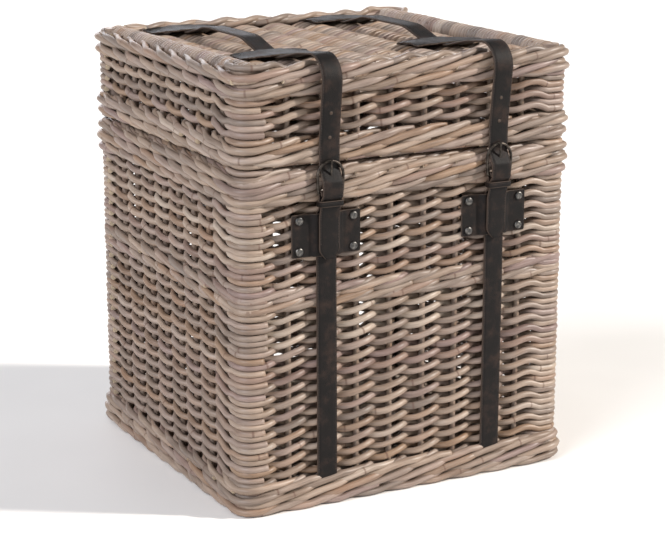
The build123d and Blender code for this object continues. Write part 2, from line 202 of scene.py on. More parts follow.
# %% Leather, thread and metal materials
def strap_leather(name):
    """Almost black leather with a grain and a rubbed edge."""
    material, tree, shader = new_material(name)
    place = add_node(tree, "TexCoord").outputs["Object"]
    edge = add_node(tree, "Attribute", {"attribute_name": "edge"})
    pits = add_node(tree, "TexVoronoi", {"Scale": 900.0, "Randomness": 1.0}, {"Vector": place})
    clouds = {"Scale": 45.0, "Detail": 5.0, "Roughness": 0.65}
    cloud = add_node(tree, "TexNoise", clouds, {"Vector": place})
    browns = {"stops": [(0.32, "0A0807"), (0.5, "130F0E"), (0.66, "2B201B")]}
    base = add_node(tree, "ValToRGB", browns, {"Fac": cloud})
    uneven = {"operation": "MULTIPLY_ADD", 1: 1.4 * MM}
    ragged = add_node(tree, "Math", uneven, {0: cloud, 2: edge.outputs["Fac"]})
    fading = {"From Min": 0.9 * MM, "From Max": 2.1 * MM, "To Min": 0.75, "To Max": 0.0}
    rubbed = add_node(tree, "MapRange", fading, {0: ragged})
    bare = {"data_type": "RGBA", 7: linear("51443B")}
    colour = add_node(tree, "Mix", bare, {0: rubbed, 6: base})
    rough = add_node(tree, "MapRange", {"To Min": 0.42, "To Max": 0.72}, {0: cloud})
    blend = {"operation": "MULTIPLY_ADD", 1: 0.5}
    height = add_node(tree, "Math", blend, {0: cloud, 2: pits.outputs["Distance"]})
    bump = add_node(tree, "Bump", {"Strength": 0.6, "Distance": 0.0004}, {"Height": height})
    link_surface(tree, shader, colour.outputs[2], rough, bump)
    shader.inputs["IOR"].default_value = 1.5
    shader.inputs["Specular IOR Level"].default_value = 0.2
    return material


def worn_metal(name, dark, bright, rough_low, rough_high, scale):
    """A metal with a dark finish that is rubbed through in small patches."""
    material, tree, shader = new_material(name)
    place = add_node(tree, "TexCoord").outputs["Object"]
    clouds = {"Scale": scale, "Detail": 6.0, "Roughness": 0.6}
    wear = add_node(tree, "TexNoise", clouds, {"Vector": place})
    colour = add_node(tree, "ValToRGB", {"stops": [(0.42, dark), (0.68, bright)]}, {"Fac": wear})
    rough = add_node(tree, "MapRange", {"To Min": rough_low, "To Max": rough_high}, {0: wear})
    bump = add_node(tree, "Bump", {"Strength": 0.3, "Distance": 0.0002}, {"Height": wear})
    link_surface(tree, shader, colour.outputs[0], rough, bump)
    shader.inputs["Metallic"].default_value = 1.0
    return material


def speckled(name, scale, dark, bright, rough):
    """A dull material whose colour varies a little."""
    material, tree, shader = new_material(name)
    place = add_node(tree, "TexCoord").outputs["Object"]
    cloud = add_node(tree, "TexNoise", {"Scale": scale}, {"Vector": place})
    tint = add_node(tree, "ValToRGB", {"stops": [dark, bright]}, {"Fac": cloud})
    tree.links.new(tint.outputs[0], shader.inputs["Base Color"])
    shader.inputs["Roughness"].default_value = rough
    return material


leather = strap_leather("leather_oiled_burnished")
thread = speckled("thread_waxed_linen", 700.0, (0.35, "2A221F"), (0.65, "4A3D36"), 0.6)
iron = worn_metal("iron_cast_blackened", "34302D", "5E5750", 0.34, 0.55, 260.0)
gunmetal = worn_metal("steel_stamped_gunmetal", "4A4A4A", "85827D", 0.28, 0.46, 320.0)
print("leather and metal materials ready", len(bpy.data.materials))

# %% [markdown]
# ## One cane
# Every woven piece is a bundle of canes, and a cane is a round tube along a path. A bevelled curve could do
# that, but here each tube is built as rings of points with numpy. It is quick for thousands of canes, and
# the material's attributes can be written point by point. The ends are closed with flat faces that are
# marked as cut, because a cane is snipped straight across.

# %% Objects
def add_object(name, data):
    """An object for a mesh, a lamp or a camera, in the scene."""
    added = bpy.data.objects.new(name, data)
    bpy.context.scene.collection.objects.link(added)
    return added


def write_attribute(mesh, name, kind, domain, values, field):
    """Stores one number or vector for each point or face of a mesh."""
    attribute = mesh.attributes.new(name, kind, domain)
    attribute.data.foreach_set(field, np.asarray(values, np.float32).ravel())


# %% Cane bundles
HANDS = (("left", -1), ("right", 1))
rng = np.random.default_rng(7)
SIDES = 9
LEFT_RIGHT = (1.0, 0.0, 0.0)  # directions across a path, for the hints
FRONT_BACK = (0.0, 1.0, 0.0)
UP = (0.0, 0.0, 1.0)


def unit(vectors):
    """The same vectors, one long."""
    return vectors / np.linalg.norm(vectors, axis=-1, keepdims=True)


def new_bundle():
    """An empty bundle of canes."""
    return {"points": [], "quads": [], "caps": [], "run": [], "tone": [], "count": 0}


def add_cane(bundle, path, radius, hint, sides=SIDES, flat=1.0):
    """Adds one tube to a bundle. hint is any direction across the path, and flat thins the cane along it."""
    path = np.asarray(path, float)
    length = len(path)
    steps = np.linalg.norm(np.diff(path, axis=0), axis=1)
    along = np.concatenate([[0.0], np.cumsum(steps)])
    tangent = unit(np.gradient(path, axis=0))
    across = unit(np.cross(tangent, hint))
    over = np.cross(across, tangent)
    tone = rng.random(3)
    phase = rng.random(2) * 2 * math.pi
    wave = 1 + 0.04 * np.sin(along * 90 + phase[0]) + 0.03 * np.sin(along * 37 + phase[1])
    ring_gap = np.abs((along / RING_SPACING + tone[1]) % 1 - 0.5) * RING_SPACING
    size = radius * (wave + 0.07 * np.exp(-((ring_gap / (4 * MM)) ** 2)))
    angle = np.arange(sides) * 2 * math.pi / sides
    cos, sin = np.cos(angle)[None, :, None], np.sin(angle)[None, :, None]
    ring = cos * across[:, None] + flat * sin * over[:, None]
    points = path[:, None] + size[:, None, None] * ring
    first = bundle["count"]
    index = first + np.arange(length * sides).reshape(length, sides)
    here, after = index[:-1], index[1:]
    quads = np.stack([here, after, np.roll(after, -1, 1), np.roll(here, -1, 1)], -1).reshape(-1, 4)
    run = [np.repeat(along, sides), np.tile(np.cos(angle), length), np.tile(np.sin(angle), length)]
    bundle["points"].append(points.reshape(-1, 3))
    bundle["quads"].append(quads)
    bundle["caps"] += [index[0].tolist(), index[-1][::-1].tolist()]
    bundle["run"].append(np.stack(run, -1))
    bundle["tone"].append(np.tile(tone, (length * sides, 1)))
    bundle["count"] += length * sides


def weave_piece(name, bundle, material, slot, body, *nodes):
    """Turns a bundle into a mesh piece that stands for the CAD nodes named."""
    mesh = bpy.data.meshes.new(name)
    quads = np.concatenate(bundle["quads"])
    mesh.from_pydata(np.concatenate(bundle["points"]).tolist(), [], quads.tolist() + bundle["caps"])
    cut = np.zeros(len(mesh.polygons))
    cut[len(quads) :] = 1
    mesh.polygons.foreach_set("use_smooth", cut < 0.5)
    write_attribute(mesh, "run", "FLOAT_VECTOR", "POINT", np.concatenate(bundle["run"]), "vector")
    write_attribute(mesh, "tone", "FLOAT_VECTOR", "POINT", np.concatenate(bundle["tone"]), "vector")
    write_attribute(mesh, "cut", "FLOAT", "FACE", cut, "value")
    mesh.materials.append(material)
    piece = add_object(name, mesh)
    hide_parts(*nodes)
    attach(piece, body)
    print(f"{name}: {len(bundle['caps']) // 2} canes, {len(quads)} faces")


# %% [markdown]
# ## The line round the basket
# All the rows go round the same rounded square, so its line is worked out once, from the CAD's posts and
# stakes. A place on it is how far round it is, and a function turns that into a point and the direction
# straight out of the wall there.

# %% The ring's line, its posts and stakes
post_low, post_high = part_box("front_right_post")
POST_X = (post_low.x + post_high.x) / 2
POST_Y = -(post_low.y + post_high.y) / 2
POST_R = (post_high.x - post_low.x) / 2
front_low, front_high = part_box("front_stakes")
side_low, side_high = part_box("right_stakes")
STAKE_R = (front_high.y - front_low.y) / 2
FACE_X = (side_low.x + side_high.x) / 2
STAKES = 8
PITCH_X = (front_high.x - front_low.x - 2 * STAKE_R) / (STAKES - 1)
PITCH_Y = (side_high.y - side_low.y - 2 * STAKE_R) / (STAKES - 1)
BEND_R = FACE_X - POST_X
ARC = BEND_R * math.pi / 2
CORNERS = np.array([(-POST_X, -POST_Y), (POST_X, -POST_Y), (POST_X, POST_Y), (-POST_X, POST_Y)])
LENGTHS = [2 * POST_X, 2 * POST_Y] * 2
PITCHES = [PITCH_X, PITCH_Y] * 2
STARTS = [sum(LENGTHS[:q]) + q * ARC for q in range(4)]
TOTAL = sum(LENGTHS) + 4 * ARC
SIDE_NAMES = ["front", "right", "back", "left"]


def ring_table():
    """Rows of place, x, y and outward direction, close together in the corners."""
    rows = []
    for q in range(4):
        facing = math.radians(90 * q - 90)
        out = np.array([math.cos(facing), math.sin(facing)])
        rows.append([STARTS[q], *(CORNERS[q] + BEND_R * out), *out])
        for k in range(13):
            angle = facing + math.pi / 2 * k / 12
            out = np.array([math.cos(angle), math.sin(angle)])
            point = CORNERS[(q + 1) % 4] + BEND_R * out
            rows.append([STARTS[q] + LENGTHS[q] + ARC * k / 12, *point, *out])
    return np.array(rows).T


TABLE = ring_table()


def ring_points(place, out, height):
    """Points at places round the ring, moved outwards and up."""
    wrapped = np.mod(place, TOTAL)
    x, y, nx, ny = [np.interp(wrapped, TABLE[0], column, period=TOTAL) for column in TABLE[1:]]
    return np.stack([x + nx * out, y + ny * out, height], -1)


def stake_places(q):
    """Where one side's stakes stand on the ring."""
    middle = STARTS[q % 4] + TOTAL * (q // 4) + LENGTHS[q % 4] / 2
    return [middle + (i - (STAKES - 1) / 2) * PITCHES[q % 4] for i in range(STAKES)]


def sample_places(low, high, straight=5.5 * MM, bent=1.1 * MM):
    """Places from low to high, closer together in the corners, where the cane turns."""
    fine = np.arange(low, high, bent)
    wrapped = np.mod(fine, TOTAL)
    keep = np.zeros(len(fine), bool)
    for start, length in zip(STARTS, LENGTHS):
        end = start + length
        keep |= (wrapped > end - 4 * MM) & (wrapped < end + ARC + 4 * MM)
    keep |= (wrapped < 4 * MM) | (wrapped > TOTAL - 4 * MM)
    keep[:: round(straight / bent)] = True
    return np.append(fine[keep], high)


print("ring length in mm", round(TOTAL * 1000), "stakes", 4 * STAKES)

# %% [markdown]
# ## The twined wall
# The walls are paired twining: two canes travel together, and at each stake one passes in front and the
# other behind, then they cross. The one that goes in climbs over the one that comes out, so each stitch
# starts low, lies flat over its stake and rises as it dives. At the corners both canes stay outside and lie
# side by side round the post. There one is snipped off just past the corner, and a new one starts inside.
# A noise texture on a flat wall would give none of the gaps, so each cane is laid along its own path.

# %% Paths of the twining
CANE_R = 4.5 * MM
SWING = STAKE_R + CANE_R - 0.2 * MM
CROSSING = 4.1 * MM
CORNER_OUT = POST_R + CANE_R - BEND_R
ROW_PITCH = 16.0 * MM
TO_CORNER = 13 * MM  # where a cane comes out to lie over the post, and where it leaves it again
PAST_CORNER = 10 * MM


def smooth_noise(place, size):
    """A slow wobble along a cane, different each time."""
    phase = rng.random(3) * 2 * math.pi
    waves = zip((1.0, 0.7, 0.4), (23, 61, 127), phase)
    return size * sum(share * np.sin(place * pace + shift) for share, pace, shift in waves)


def between_keys(key_places, places):
    """For each place, the number of the key before it and the share of the way to the next key."""
    part = np.clip(np.searchsorted(key_places, places, side="right") - 1, 0, len(key_places) - 2)
    return part, (places - key_places[part]) / (key_places[part + 1] - key_places[part])


def follow_keys(keys, lean, first_lean):
    """Places, distances out and heights along a cane that passes the keys (place, out, height)."""
    places = sample_places(keys[0][0], keys[-1][0])
    key = np.array(keys)
    part, share = between_keys(key[:, 0], places)
    ease = (1 - np.cos(math.pi * np.clip((share - 0.1) / 0.8, 0, 1))) / 2
    out = key[part, 1] * (1 - ease) + key[part + 1, 1] * ease
    diving = np.sign(np.round(key[part, 1] - key[part + 1, 1], 5)) * np.where(part == 0, first_lean, lean)
    height = key[part, 2] * (1 - share) + key[part + 1, 2] * share
    return places, out, height + diving * CROSSING * np.sin(math.pi * share)


def lay_twined(bundle, keys, level, lean, first_lean):
    """Lays one cane of a pair at a level, and keeps it off the floor."""
    places, out, height = follow_keys(keys, lean, first_lean)
    out = out + smooth_noise(places, 0.25 * MM)
    height = np.maximum(level + height + smooth_noise(places, 0.35 * MM), CANE_R * 1.06)
    add_cane(bundle, ring_points(places, out, height), CANE_R * rng.uniform(0.92, 1.06), UP)


def twine_side(bundle, q, level, lean):
    """Both canes of one row on one side. One of them starts behind the last side's stake, one inside."""
    stakes = stake_places(q)
    start, end = STARTS[q], STARTS[q] + LENGTHS[q]
    before = stake_places(q + 3)[-1] - TOTAL
    through = [(before, -SWING, 0)]
    through += [(start - ARC - TO_CORNER, CORNER_OUT, CANE_R), (start + PAST_CORNER, CORNER_OUT, CANE_R)]
    through += [(s, SWING if i % 2 else -SWING, 0) for i, s in enumerate(stakes)]
    snip = end + ARC + rng.uniform(7, 16) * MM
    through += [(end - TO_CORNER, CORNER_OUT, -CANE_R), (snip, CORNER_OUT, -CANE_R)]
    inner = [(start + 8 * MM, -0.6 * SWING, -3 * MM)]
    inner += [(s, -SWING if i % 2 else SWING, 0) for i, s in enumerate(stakes)]
    lay_twined(bundle, through, level, lean, -1.0)
    lay_twined(bundle, inner, level, lean, lean)


def row_places(low, high, pitch=ROW_PITCH):
    """The middles of the rows that fit between two places."""
    count = max(1, round((high - low) / pitch))
    return [low + (k + 0.5) * (high - low) / count for k in range(count)]


# %% Walls of the body and the lid
LEANS = {"front": 1.0, "right": -1.0, "back": 1.0, "left": -1.0}
for course in ("{}_lower_weave", "{}_upper_weave", "lid_{}_weave"):
    for q, side in enumerate(SIDE_NAMES):
        node = course.format(side)
        low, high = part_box(node)
        bundle = new_bundle()
        for level in row_places(low.z, high.z):
            twine_side(bundle, q, level, LEANS[side])
        body = "lid" if node.startswith("lid") else "root"
        weave_piece(node + "_canes", bundle, weave_rattan, "rattan_weave", body, node)

# %% [markdown]
# ## Border ropes
# The base, the band halfway up, the rim and both borders of the lid are waling: thicker canes that pass in
# front of two stakes and behind one, each starting one stake after the last. The stitches overlap like the
# strands of a rope. Going round they climb along the front and back and fall along the sides. Each stitch is
# laid as a cane of its own, tucked in at both ends, so the colour changes as often as on a real border, and
# now and then one is cut off blunt. Behind the rope the twined wall goes on, as the basket's inside shows.

# %% Waled border ropes
ROPE_R = 4.6 * MM
STITCH_RISE = 9.4 * MM  # how far a stitch climbs from one stake to the next
SIDE_FALL = 6.0 * MM
STITCH_REACH = 1.4  # in stakes, from a stitch's middle to its ends
FLAT_REACH = 0.45  # from its middle to where it starts to dive
DIVE_REACH = 0.9
TUCK = 10.5 * MM  # how deep its ends go
BLUNT_SHARE = 0.1
STATIONS = []
for q in range(4):
    STATIONS += [STARTS[q] - ARC / 2, *stake_places(q)]
STATION_COUNT = len(STATIONS)
STATIONS.append(STATIONS[0] + TOTAL)
CLIMBS = np.cumsum([0, STITCH_RISE, -SIDE_FALL, STITCH_RISE, -SIDE_FALL]) * STATION_COUNT / 4


def at_station(index, values):
    """Reads values that cover one lap at stake numbers, which may be fractions and run past the end."""
    laps = np.floor(index / STATION_COUNT)
    marks = np.linspace(0, STATION_COUNT, len(values))
    return np.interp(index - laps * STATION_COUNT, marks, values) + laps * (values[-1] - values[0])


def rope_row(bundle, out, level, tilt, floor, ceiling, all_round):
    """One row of rope between two heights. tilt turns its face upwards, for rows on the border's edge."""
    turn = math.radians(tilt)
    offset = rng.uniform(0, 1)
    for j in range(STATION_COUNT):
        side = SIDE_NAMES[4 * j // STATION_COUNT]
        if not all_round and side in ("left", "right"):
            continue
        steps = np.linspace(-STITCH_REACH, STITCH_REACH, 34)
        blunt = rng.random() < BLUNT_SHARE
        if blunt:
            steps = steps[steps < rng.uniform(0.7, 1.1)]
        places = at_station(j + offset + steps, STATIONS)
        tuck = np.clip((np.abs(steps) - FLAT_REACH) / DIVE_REACH, 0, 1)
        if blunt:
            tuck[steps > 0] *= 0.3
        depth = -TUCK * tuck * tuck * (3 - 2 * tuck) + smooth_noise(places, 0.25 * MM)
        climb = at_station(j + offset + steps, CLIMBS) - at_station(j + offset, CLIMBS)
        climb = climb + smooth_noise(places, 0.5 * MM)
        distance = out + depth * math.cos(turn) - climb * math.sin(turn)
        height = level + depth * math.sin(turn) + climb * math.cos(turn)
        height = np.clip(height, floor + ROPE_R * 1.16, ceiling - ROPE_R * 1.16)
        path = ring_points(places, distance, height)
        add_cane(bundle, path, ROPE_R * rng.uniform(0.95, 1.14) * (1 - 0.3 * tuck), UP)


# %% Borders of the body and the lid
# Each row is its distance out and its level in mm, and its tilt in degrees.
BORDERS = {
    "base_border": [(14.5, 8, 0), (15.6, 22, 0), (13.5, 36, 0)],
    "mid_band": [(8.6, 282, 0), (8.6, 298, 0)],
    "rim_border": [(13.0, 425, 0), (15.0, 440, 0), (13.5, 454, 0), (-1.0, 461, 90)],
    "lid_lower_border": [(13.5, 479, 0), (14.6, 494, 0), (-1.0, 471, 90)],
    "lid_upper_border": [(14.0, 567, 0), (14.0, 585, 10), (2.0, 590, 90)],
}
SEAM_GROOVE = 3.2 * MM  # left free between the rim and the lid
COVER_LEVEL = 590  # this row covers the lid's edge at the front and back, and the rolls do so at the sides
for node, rows in BORDERS.items():
    low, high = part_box(node)
    bundle = new_bundle()
    for level in row_places(low.z + 1 * MM, high.z - 1 * MM):
        for q, side in enumerate(SIDE_NAMES):
            beside_roll = node == "lid_upper_border" and side in ("left", "right")
            if not (beside_roll and level > low.z + ROW_PITCH):
                twine_side(bundle, q, level, LEANS[side])
    for out, level, tilt in rows:
        groove = 0 if tilt == 90 else SEAM_GROOVE
        floor = low.z + (groove if node == "lid_lower_border" else 0)
        ceiling = high.z - (groove if node == "rim_border" else 0)
        rope_row(bundle, out * MM, level * MM, tilt, floor, ceiling, level != COVER_LEVEL)
    body = "lid" if node.startswith("lid") else "root"
    weave_piece(node + "_ropes", bundle, rope_rattan, "rattan_rope", body, node)

# %% [markdown]
# ## Woven panels
# The lid's top and the basket's floor are the same twining, laid flat: the rods run from front to back and
# the pairs cross them from left to right. Thinner cane is packed tighter here. On the lid, the pairs end
# under a fat roll of split cane along each side, which is a coil round a rod, one tight turn beside another.

# %% Lid top and floor panels
ROD_XS = [(i - (STAKES - 1) / 2) * PITCH_X for i in range(STAKES)]


def twine_panel(bundle, node, rods, cane_r, pitch):
    """Pairs of canes that run left to right over and under the rods."""
    low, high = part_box(node)
    rod_low, rod_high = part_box(rods)
    swing = (rod_high.z - rod_low.z) / 2 + cane_r - 0.2 * MM
    middle = (low.z + high.z) / 2
    for y in row_places(low.y, high.y, pitch):
        reach = high.x - 1 * MM
        if abs(y) >= POST_Y - POST_R - 3 * MM:
            reach = min(reach, POST_X - POST_R - 8 * MM)
        stops = np.array([-reach, *ROD_XS, reach])
        x = np.linspace(-reach, reach, 96)
        part, share = between_keys(stops, x)
        ease = (1 - np.cos(math.pi * share)) / 2
        for strand in (0, 1):
            lifts = swing * np.array([0] + [1 if (i + strand) % 2 else -1 for i in range(STAKES)] + [0])
            lift = lifts[part] * (1 - ease) + lifts[part + 1] * ease
            diving = np.sign(lifts[part] - lifts[part + 1])
            beside = y + diving * 0.25 * pitch * np.sin(math.pi * share) + smooth_noise(x, 0.2 * MM)
            path = np.stack([x, beside, middle + lift + smooth_noise(x, 0.25 * MM)], -1)
            add_cane(bundle, path, cane_r * rng.uniform(0.93, 1.07), FRONT_BACK, 8)


def loose_ends(bundle, y, z):
    """Short canes that lie along the inside of the front border, where the panel was finished off."""
    for x in np.arange(-185, 190, 19.5) * MM:
        length = rng.uniform(30, 55) * MM
        t = np.linspace(0, 1, 9)
        rise = 5 * MM * np.sin(math.pi * (0.15 + 0.7 * t)) + rng.uniform(-1, 1) * MM
        path = np.stack([x + length * t, y + rng.uniform(-2, 2) * MM + 5 * MM * t, z + rise], -1)
        add_cane(bundle, path, rng.uniform(2.6, 3.4) * MM, UP, 8)


panel = new_bundle()
twine_panel(panel, "lid_top_panel", "lid_top_rods", 3.7 * MM, 13.4 * MM)
loose_ends(panel, -214 * MM, 586 * MM)
weave_piece("lid_top_canes", panel, weave_rattan, "rattan_weave", "lid", "lid_top_panel")
panel = new_bundle()
twine_panel(panel, "base_panel", "base_rods", 3.6 * MM, 14 * MM)
weave_piece("base_panel_canes", panel, weave_rattan, "rattan_weave", "root", "base_panel")

# %% Wrapped rolls along the lid's sides
STRIP_R = 3.8 * MM
ROLL_R = 15.5 * MM - STRIP_R
ROLL_OUT = 9.0 * MM  # the roll leans out over the wall's top
ROLL_UP = 6.5 * MM
ROLL_REACH = 17 * MM  # and runs on past the rod, to close the corner over the post
TURNS_PER_CANE = 3
SPIRAL_TURNS = ROLL_R / (2 * STRIP_R)


def coil(centre, reach, turns, y):
    """A path that winds round a line from front to back."""
    angle = 2 * math.pi * turns
    return np.stack([centre.x + reach * np.cos(angle), y + 0 * turns, centre.z + reach * np.sin(angle)], -1)


for hand, sign in HANDS:
    low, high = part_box(f"lid_{hand}_edge_rod")
    centre = (low + high) / 2 + Vector((sign * ROLL_OUT, 0, ROLL_UP))
    near, far = low.y - ROLL_REACH, high.y + ROLL_REACH
    turns = int((far - near) / (2 * STRIP_R * 1.02))
    bundle = new_bundle()
    for start in range(0, turns, TURNS_PER_CANE):
        t = np.linspace(start, min(start + TURNS_PER_CANE, turns), 24 * TURNS_PER_CANE + 1)
        reach = ROLL_R + smooth_noise(t * 0.1, 0.15 * MM)
        path = coil(centre, reach, t, near + (far - near) * t / turns)
        add_cane(bundle, path, STRIP_R * rng.uniform(0.95, 1.1), FRONT_BACK, 7)
    for end in (near, far):
        t = np.linspace(0, SPIRAL_TURNS, 60)
        reach = ROLL_R - (ROLL_R - STRIP_R / 2) * t / SPIRAL_TURNS
        add_cane(bundle, coil(centre, reach, t, end), STRIP_R, FRONT_BACK, 7)
    weave_piece(f"lid_{hand}_edge_wrap", bundle, weave_rattan, "rattan_weave", "lid", f"lid_{hand}_edge_rod")

# %% [markdown]
# ## Straight rods
# Posts, stakes, panel rods and the hinge rod are right as the CAD has them, so they only take the rattan's
# finish, with the grain drawn out along each rod.

# %% Finish for the CAD rods
UPRIGHT = [f"{side}_stakes" for side in SIDE_NAMES] + ["lid_stakes", "lid_corner_posts"]
UPRIGHT += [f"{corner}_post" for corner in ("front_left", "front_right", "back_left", "back_right")]


def paint(node, material):
    """Gives a CAD node a material."""
    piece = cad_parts[node]
    piece.data.materials.clear()
    piece.data.materials.append(material)


for node in UPRIGHT:
    paint(node, upright_rattan)
for node in ("base_rods", "lid_top_rods"):
    paint(node, lying_rattan)
paint("hinge_rod", hinge_rattan)
for hand in ("left", "right"):
    paint(f"buckle_{hand}", iron)
    paint(f"prong_{hand}", iron)
    paint(f"rivets_{hand}", gunmetal)
    paint(f"rivet_washers_{hand}", gunmetal)
print("CAD rods and metal finished")

# %% [markdown]
# ## Hinge bindings
# At the back, loops of split cane tie the lid to a rod: on the rim three bindings, and on the lid three more
# beside them. Each binding is five strips, side by side, that come up the border's face, go round the rod
# and down again. They are laid along the CAD loop's own outline, so they turn about the same rod.


# %% Bindings round the hinge rod
BINDINGS, BINDING_PITCH = 3, 150 * MM
STRIPS = 5
BINDING_R = 6.4 * MM  # of a strip's middle, round the hinge rod
TAIL_TOP, TAIL_END = 12 * MM, 20 * MM  # from the rod's middle


def bind_hinge(node, piece_name, body, up):
    """Strips for each of the three bindings. up says which way their tails lie."""
    low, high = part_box(node)
    rod = sum(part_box("hinge_rod"), Vector()) / 2
    strip = (high.x - low.x - (BINDINGS - 1) * BINDING_PITCH) / (2 * STRIPS)
    face_y, outer_y = low.y + 1.7 * MM, low.y + 2.9 * MM
    tail_z = low.z + 2 * MM if up < 0 else high.z - 2 * MM
    angle = np.radians(np.linspace(-170, 170, 26) + 180 - 90 * up)
    loop = np.stack([rod.y + BINDING_R * np.cos(angle), rod.z + BINDING_R * np.sin(angle)], -1)
    if loop[0][0] > loop[-1][0]:
        loop = loop[::-1]
    tail = np.linspace((face_y, tail_z), (face_y, rod.z + up * TAIL_TOP), 7)
    outer = np.linspace((outer_y, rod.z + up * TAIL_TOP), (outer_y, rod.z + up * TAIL_END), 4)
    route = np.concatenate([tail, loop, outer])
    bundle = new_bundle()
    for spot in range(BINDINGS):
        for k in range(STRIPS):
            x = low.x + spot * BINDING_PITCH + strip * (2 * k + 1)
            add_cane(bundle, np.insert(route, 0, x, axis=1), strip, LEFT_RIGHT, 8, 0.55)
    weave_piece(piece_name, bundle, weave_rattan, "rattan_weave", body, node)


bind_hinge("body_hinge_loops", "body_hinge_bindings", "root", -1)
bind_hinge("lid_hinge_loops", "lid_hinge_bindings", "lid", 1)

# %% [markdown]
# ## Leather straps
# A strap is a flat strip with rounded, burnished edges, a creased line just inside each edge, and a row of
# stitches in that crease. Its section is drawn once as a closed outline and swept along the strap's route,
# which bends as the CAD's solid does. Cloth simulation would lose the crisp edges, so the strip is modelled
# directly.

# %% Strap routes and sections
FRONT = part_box("rim_border")[0].y
STRAP_X = 0.129
STRAP_W = 30 * MM
STRAP_T = 2.6 * MM
CREASE_IN = 2.1 * MM  # from a strap's edge to the creased line that holds the stitches
STITCH_PITCH, STITCH_LENGTH = 3.6 * MM, 2.5 * MM
HOLES = (503, 535)  # levels in mm


def rounded_route(points, radii, step=2.5 * MM):
    """Points along a polyline in a plane, its corners rounded, about a step apart."""
    points = np.asarray(points, float)
    places = [points[0]]
    for before, corner, after, radius in zip(points, points[1:], points[2:], radii):
        back, ahead = unit(before - corner), unit(after - corner)
        half = math.acos(np.clip(back @ ahead, -1, 1)) / 2
        reach = radius / math.tan(half)
        middle = corner + unit(back + ahead) * radius / math.sin(half)
        a, b = corner + back * reach - middle, corner + ahead * reach - middle
        start, sweep = math.atan2(a[1], a[0]), math.pi - 2 * half
        sign = math.copysign(1, a[0] * b[1] - a[1] * b[0])
        for t in np.linspace(0, 1, max(3, int(radius * sweep / step) + 2)):
            angle = start + sign * sweep * t
            places.append(middle + radius * np.array([math.cos(angle), math.sin(angle)]))
    places.append(points[-1])
    filled = [places[0]]
    for a, b in zip(places, places[1:]):
        count = max(1, round(np.linalg.norm(b - a) / step))
        filled += [a + (b - a) * k / count for k in range(1, count + 1)]
    keep = [filled[0]]
    keep += [b for a, b in zip(filled, filled[1:]) if np.linalg.norm(b - a) > 0.05 * MM]
    return np.array(keep)


def leather_section(width, thick):
    """A strap's outline as (across, up, distance from the edge), with rounded edges and a creased line."""
    half_w, half_t = width / 2, thick / 2
    turns = np.radians(range(0, 181, 30))
    edge = [(half_w - half_t * 0.8 * (1 - math.sin(a)), half_t * math.cos(a)) for a in turns]
    crease = half_w - CREASE_IN
    inner = [crease + 0.5 * MM, crease, crease - 0.5 * MM, half_w * 0.6, half_w * 0.25]
    dip = [0.0, -0.35 * MM, 0.0, 0.12 * MM, 0.15 * MM]
    top = [(x, half_t + d) for x, d in zip(inner, dip)][::-1]
    quarter = top + edge + [(x, -half_t) for x in (inner[0], inner[3], inner[4])]
    outline = quarter + [(-x, y) for x, y in quarter][::-1]
    return np.array([(x, y, half_w - abs(x)) for x, y in outline])


# %% Mesh helpers for leather
def new_leather():
    """An empty leather skin."""
    return {"points": [], "faces": [], "edge": [], "kind": [], "count": 0}


def add_grid(skin, grid, edge, closed_rows, kind=0):
    """Adds a grid of points as faces. closed_rows joins each row's last point to its first."""
    rows, columns = grid.shape[:2]
    index = skin["count"] + np.arange(rows * columns).reshape(rows, columns)
    if closed_rows:
        index = np.concatenate([index, index[:, :1]], 1)
    quads = np.stack([index[:-1, :-1], index[:-1, 1:], index[1:, 1:], index[1:, :-1]], -1).reshape(-1, 4)
    skin["points"].append(grid.reshape(-1, 3))
    skin["faces"] += quads.tolist()
    skin["edge"].append(np.asarray(edge).reshape(-1))
    skin["kind"] += [kind] * len(quads)
    skin["count"] += rows * columns
    return index


def add_stitch(skin, start, end, lift):
    """One stitch, a short thread that dips into the leather at both ends."""
    start, end, lift = map(np.asarray, (start, end, lift))
    t = np.array([0.0, 0.3, 0.7, 1.0])[:, None]
    line = start + (end - start) * t + lift * np.array([-0.25, 0.22, 0.22, -0.25])[:, None] * MM
    along = unit(end - start)
    across = np.cross(along, lift)
    angle = np.arange(5) * 2 * math.pi / 5
    ring = np.cos(angle)[:, None] * across + np.sin(angle)[:, None] * lift
    grid = line[:, None] + 0.33 * MM * ring[None]
    add_grid(skin, grid, np.full(20, 0.01), True, 1)


def leather_piece(name, skin, *nodes):
    """Turns leather grids into a piece. Its second material is the thread."""
    mesh = bpy.data.meshes.new(name)
    mesh.from_pydata(np.concatenate(skin["points"]).tolist(), [], skin["faces"])
    write_attribute(mesh, "edge", "FLOAT", "POINT", np.concatenate(skin["edge"]), "value")
    mesh.polygons.foreach_set("use_smooth", [True] * len(mesh.polygons))
    mesh.polygons.foreach_set("material_index", skin["kind"])
    mesh.materials.append(leather)
    mesh.materials.append(thread)
    piece = add_object(name, mesh)
    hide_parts(*nodes)
    print(f"{name}: {len(mesh.polygons)} faces")
    return piece


